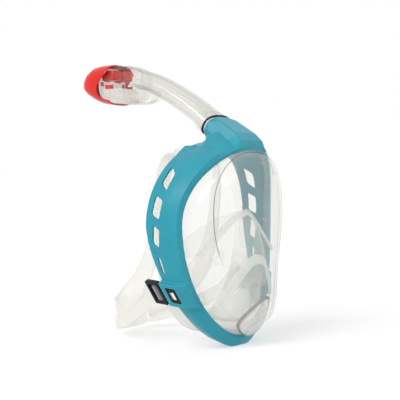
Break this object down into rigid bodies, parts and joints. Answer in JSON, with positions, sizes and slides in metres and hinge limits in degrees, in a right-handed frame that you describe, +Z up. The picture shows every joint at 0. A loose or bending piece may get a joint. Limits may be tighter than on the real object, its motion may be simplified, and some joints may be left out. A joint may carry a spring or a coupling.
{
  "type": "full-face snorkel mask",
  "caption": "Full-face snorkel mask: turquoise frame, panoramic clear lens, silicone skirt and head strap, chin drain, and a clear curved snorkel with a red dry top.",
  "frame": {"origin": "middle of the flat land under the chin, on the plane of symmetry", "axes": "+Z up; -Y the way the wearer looks; +X the wearer's left"},
  "size_m": [0.178, 0.2369, 0.3011],
  "materials": {
    "turquoise_plastic": "satin moulded, fine grain",
    "clear_lens": "polished, water-clear",
    "clear_plastic": "polished, clear",
    "clear_silicone": "translucent, satin",
    "smoke_plastic": "translucent smoke grey",
    "red_plastic": "satin moulded",
    "black_plastic": "satin moulded",
    "grey_plastic": "ribbed",
    "black_rubber": "matt",
    "steel": "bright"
  },
  "bodies": {
    "mask": {"outer_frame": "turquoise_plastic", "lens": "clear_lens", "face_skirt": "clear_silicone", "retaining_ring": "clear_plastic", "ring_screw_1": "steel", "ring_screw_2": "steel", "ring_screw_3": "steel", "ring_screw_4": "steel", "ring_screw_5": "steel", "ring_screw_6": "steel", "nose_pocket": "clear_silicone", "inhale_valve_seat_left": "clear_plastic", "exhale_valve_seat_left": "clear_plastic", "inhale_valve_seat_right": "clear_plastic", "exhale_valve_seat_right": "clear_plastic", "drain_cover": "smoke_plastic", "drain_valve_seat": "clear_plastic", "socket_sleeve": "clear_plastic", "head_strap": "clear_silicone", "lower_strap_left": "clear_silicone", "lower_strap_right": "clear_silicone"},
    "snorkel": {"snorkel_tube": "clear_plastic", "tube_collar": "clear_plastic", "tube_o_ring": "black_rubber", "dry_top_body": "clear_plastic", "dry_top_cap": "red_plastic", "valve_plate": "clear_plastic", "seal_pad": "red_plastic", "exhaust_hood": "clear_plastic"},
    "float_left": {"float_left": "red_plastic"},
    "float_right": {"float_right": "red_plastic"},
    "exhaust_flap_left": {"exhaust_flap_left": "clear_silicone"},
    "exhaust_flap_right": {"exhaust_flap_right": "clear_silicone"},
    "inhale_flap_left": {"inhale_valve_flap_left": "clear_silicone"},
    "exhale_flap_left": {"exhale_valve_flap_left": "clear_silicone"},
    "inhale_flap_right": {"inhale_valve_flap_right": "clear_silicone"},
    "exhale_flap_right": {"exhale_valve_flap_right": "clear_silicone"},
    "drain_disc": {"drain_valve_disc": "clear_silicone"},
    "release_button_left": {"release_button_left": "black_plastic"},
    "buckle_left": {"buckle_left": "black_plastic"},
    "roller_left": {"strap_roller_left": "grey_plastic"},
    "release_button_right": {"release_button_right": "black_plastic"},
    "buckle_right": {"buckle_right": "black_plastic"},
    "roller_right": {"strap_roller_right": "grey_plastic"}
  },
  "joints": [
    {"name": "snorkel_pull", "type": "slide", "parent": "mask", "child": "snorkel", "axis": [0, 0.8572, 0.515], "range_m": [0, 0.035]},
    {"name": "float_rise_left", "type": "slide", "parent": "snorkel", "child": "float_left", "axis": [0, 1, 0], "range_m": [0, 0.007]},
    {"name": "float_rise_right", "type": "slide", "parent": "snorkel", "child": "float_right", "axis": [0, 1, 0], "range_m": [0, 0.007]},
    {"name": "exhaust_flap_swing_left", "type": "hinge", "parent": "snorkel", "child": "exhaust_flap_left", "pos_m": [0.013, 0.1214, 0.27117], "axis": [-1, 0, 0], "range_deg": [0, 30]},
    {"name": "exhaust_flap_swing_right", "type": "hinge", "parent": "snorkel", "child": "exhaust_flap_right", "pos_m": [-0.013, 0.1214, 0.27117], "axis": [-1, 0, 0], "range_deg": [0, 30]},
    {"name": "inhale_lift_left", "type": "slide", "parent": "mask", "child": "inhale_flap_left", "axis": [-0.7401, 0.6481, -0.1794], "range_m": [0, 0.0012]},
    {"name": "exhale_lift_left", "type": "slide", "parent": "mask", "child": "exhale_flap_left", "axis": [0.8668, -0.2395, -0.4374], "range_m": [0, 0.0012]},
    {"name": "inhale_lift_right", "type": "slide", "parent": "mask", "child": "inhale_flap_right", "axis": [0.7401, 0.6481, -0.1794], "range_m": [0, 0.0012]},
    {"name": "exhale_lift_right", "type": "slide", "parent": "mask", "child": "exhale_flap_right", "axis": [-0.8668, -0.2395, -0.4374], "range_m": [0, 0.0012]},
    {"name": "drain_lift", "type": "slide", "parent": "mask", "child": "drain_disc", "axis": [0, -0.8858, -0.464], "range_m": [0, 0.0012]},
    {"name": "release_press_left", "type": "slide", "parent": "mask", "child": "release_button_left", "axis": [-0.9063, 0, 0.4226], "range_m": [0, 0.0014]},
    {"name": "buckle_pull_left", "type": "slide", "parent": "mask", "child": "buckle_left", "axis": [0.0368, 0.9962, 0.079], "range_m": [0, 0.024], "deforming": ["lower_strap_left"]},
    {"name": "roller_turn_left", "type": "hinge", "parent": "buckle_left", "child": "roller_left", "pos_m": [0.07681, 0.04737, 0.05966], "axis": [0.4082, 0.2588, 0.8754], "continuous": true},
    {"name": "release_press_right", "type": "slide", "parent": "mask", "child": "release_button_right", "axis": [0.9063, 0, 0.4226], "range_m": [0, 0.0014]},
    {"name": "buckle_pull_right", "type": "slide", "parent": "mask", "child": "buckle_right", "axis": [-0.0368, 0.9962, 0.079], "range_m": [0, 0.024], "deforming": ["lower_strap_right"]},
    {"name": "roller_turn_right", "type": "hinge", "parent": "buckle_right", "child": "roller_right", "pos_m": [-0.07681, 0.04737, 0.05966], "axis": [-0.4082, 0.2588, 0.8754], "continuous": true}
  ],
  "couplings": [
    {"joint": "float_rise_right", "follows": "float_rise_left", "ratio": 1}
  ]
}
